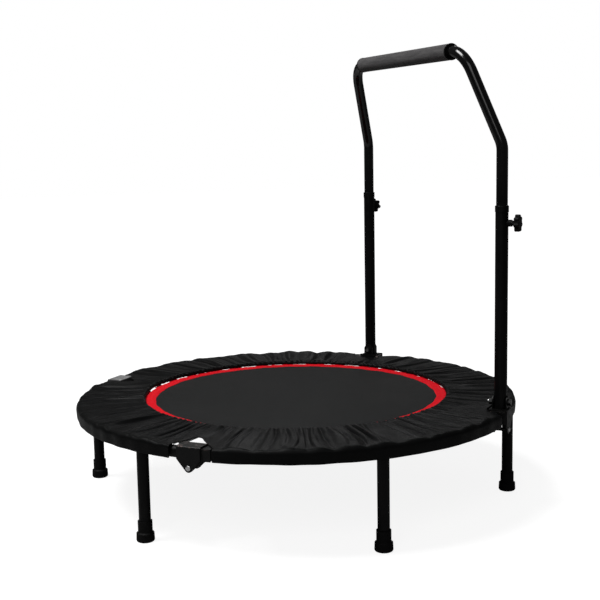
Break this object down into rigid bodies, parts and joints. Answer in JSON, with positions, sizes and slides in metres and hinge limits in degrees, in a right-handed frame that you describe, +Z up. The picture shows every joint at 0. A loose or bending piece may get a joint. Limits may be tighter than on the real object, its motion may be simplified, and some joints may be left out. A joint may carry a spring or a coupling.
{
  "type": "mini trampoline",
  "caption": "Round folding mini trampoline with a gathered spring cover, screw-on legs and a height-adjustable U-shaped support handle.",
  "frame": {"origin": "on the floor under the ring's centre", "axes": "+Z up, +Y towards the handle, which is the front; mirror plane X = 0 for the handle"},
  "size_m": [1.0398, 1.0398, 1.0201],
  "materials": {
    "frame_tube": "black powder coat, satin",
    "hinge_steel": "black paint, rubbed brown-grey on folded edges",
    "leg_tube": "black powder coat, satin",
    "post_tube": "black powder coat, satin",
    "handle_tube": "gloss black paint",
    "zinc_steel": "bright zinc plate",
    "spring_steel": "zinc-plated spring wire",
    "foot_rubber": "matt moulded rubber",
    "mat_weave": "tight charcoal weave of flat yarn",
    "band_webbing": "red sewn webbing",
    "cover_fabric": "black coated cover fabric, gathered",
    "grip_foam": "dark grey foam, matt",
    "grip_ring": "black soft end ring",
    "knob_plastic": "black moulded plastic"
  },
  "bodies": {
    "front_half": {"frame_arc_front": "frame_tube", "frame_arc_right": "frame_tube", "hinge_outer_front_right": "hinge_steel", "hinge_outer_front_left": "hinge_steel", "hinge_inner_front_right": "hinge_steel", "hinge_inner_rear_right": "hinge_steel", "hinge_pins_front_half": "zinc_steel", "leg_right": "leg_tube", "leg_front_right": "leg_tube", "leg_front_left": "leg_tube", "foot_right": "foot_rubber", "foot_front_right": "foot_rubber", "foot_front_left": "foot_rubber", "leg_studs_front_half": "zinc_steel", "leg_nuts_front_half": "zinc_steel", "mat_front_half": "mat_weave", "mat_band_front_half": "band_webbing", "cover_front_half": "cover_fabric", "springs_front_half": "spring_steel", "v_rings_front_half": "spring_steel", "post_right": "post_tube", "post_left": "post_tube", "post_bracket_right": "hinge_steel", "post_bracket_left": "hinge_steel", "post_bolts": "zinc_steel", "post_nuts": "zinc_steel", "post_washers": "zinc_steel", "post_bushes": "knob_plastic", "knob_bosses": "post_tube"},
    "rear_half": {"frame_arc_rear": "frame_tube", "frame_arc_left": "frame_tube", "hinge_outer_rear_left": "hinge_steel", "hinge_outer_rear_right": "hinge_steel", "hinge_inner_rear_left": "hinge_steel", "hinge_inner_front_left": "hinge_steel", "hinge_pins_rear_half": "zinc_steel", "leg_left": "leg_tube", "leg_rear_left": "leg_tube", "leg_rear_right": "leg_tube", "foot_left": "foot_rubber", "foot_rear_left": "foot_rubber", "foot_rear_right": "foot_rubber", "leg_studs_rear_half": "zinc_steel", "leg_nuts_rear_half": "zinc_steel", "mat_rear_half": "mat_weave", "mat_band_rear_half": "band_webbing", "cover_rear_half": "cover_fabric", "springs_rear_half": "spring_steel", "v_rings_rear_half": "spring_steel"},
    "upper_handle": {"handle_tube": "handle_tube", "handle_grip": "grip_foam", "grip_end_rings": "grip_ring"},
    "screw_tip_right": {"knob_tip_right": "zinc_steel"},
    "screw_tip_left": {"knob_tip_left": "zinc_steel"},
    "hand_screw_right": {"knob_right": "knob_plastic", "knob_screw_right": "zinc_steel"},
    "hand_screw_left": {"knob_left": "knob_plastic", "knob_screw_left": "zinc_steel"}
  },
  "joints": [
    {"name": "frame_fold", "type": "hinge", "parent": "front_half", "child": "rear_half", "pos_m": [0, 0, 0.1785], "axis": [0.7071, -0.7071, 0], "range_deg": [0, 110]},
    {"name": "handle_height", "type": "slide", "parent": "front_half", "child": "upper_handle", "axis": [0, 0, 1], "range_m": [-0.1, 0.1]},
    {"name": "screw_right_travel", "type": "slide", "parent": "front_half", "child": "screw_tip_right", "axis": [0.7071, 0.7071, 0], "range_m": [0, 0.00375]},
    {"name": "screw_right_turn", "type": "hinge", "parent": "screw_tip_right", "child": "hand_screw_right", "pos_m": [0.37017, 0.37017, 0.633], "axis": [-0.7071, -0.7071, 0], "range_deg": [0, 1081]},
    {"name": "screw_left_travel", "type": "slide", "parent": "front_half", "child": "screw_tip_left", "axis": [-0.7071, 0.7071, 0], "range_m": [0, 0.00375]},
    {"name": "screw_left_turn", "type": "hinge", "parent": "screw_tip_left", "child": "hand_screw_left", "pos_m": [-0.37017, 0.37017, 0.633], "axis": [0.7071, -0.7071, 0], "range_deg": [0, 1081]}
  ],
  "couplings": [
    {"joint": "screw_right_turn", "follows": "screw_right_travel", "rad_per_m": 5026.5},
    {"joint": "screw_left_turn", "follows": "screw_left_travel", "rad_per_m": 5026.5}
  ]
}
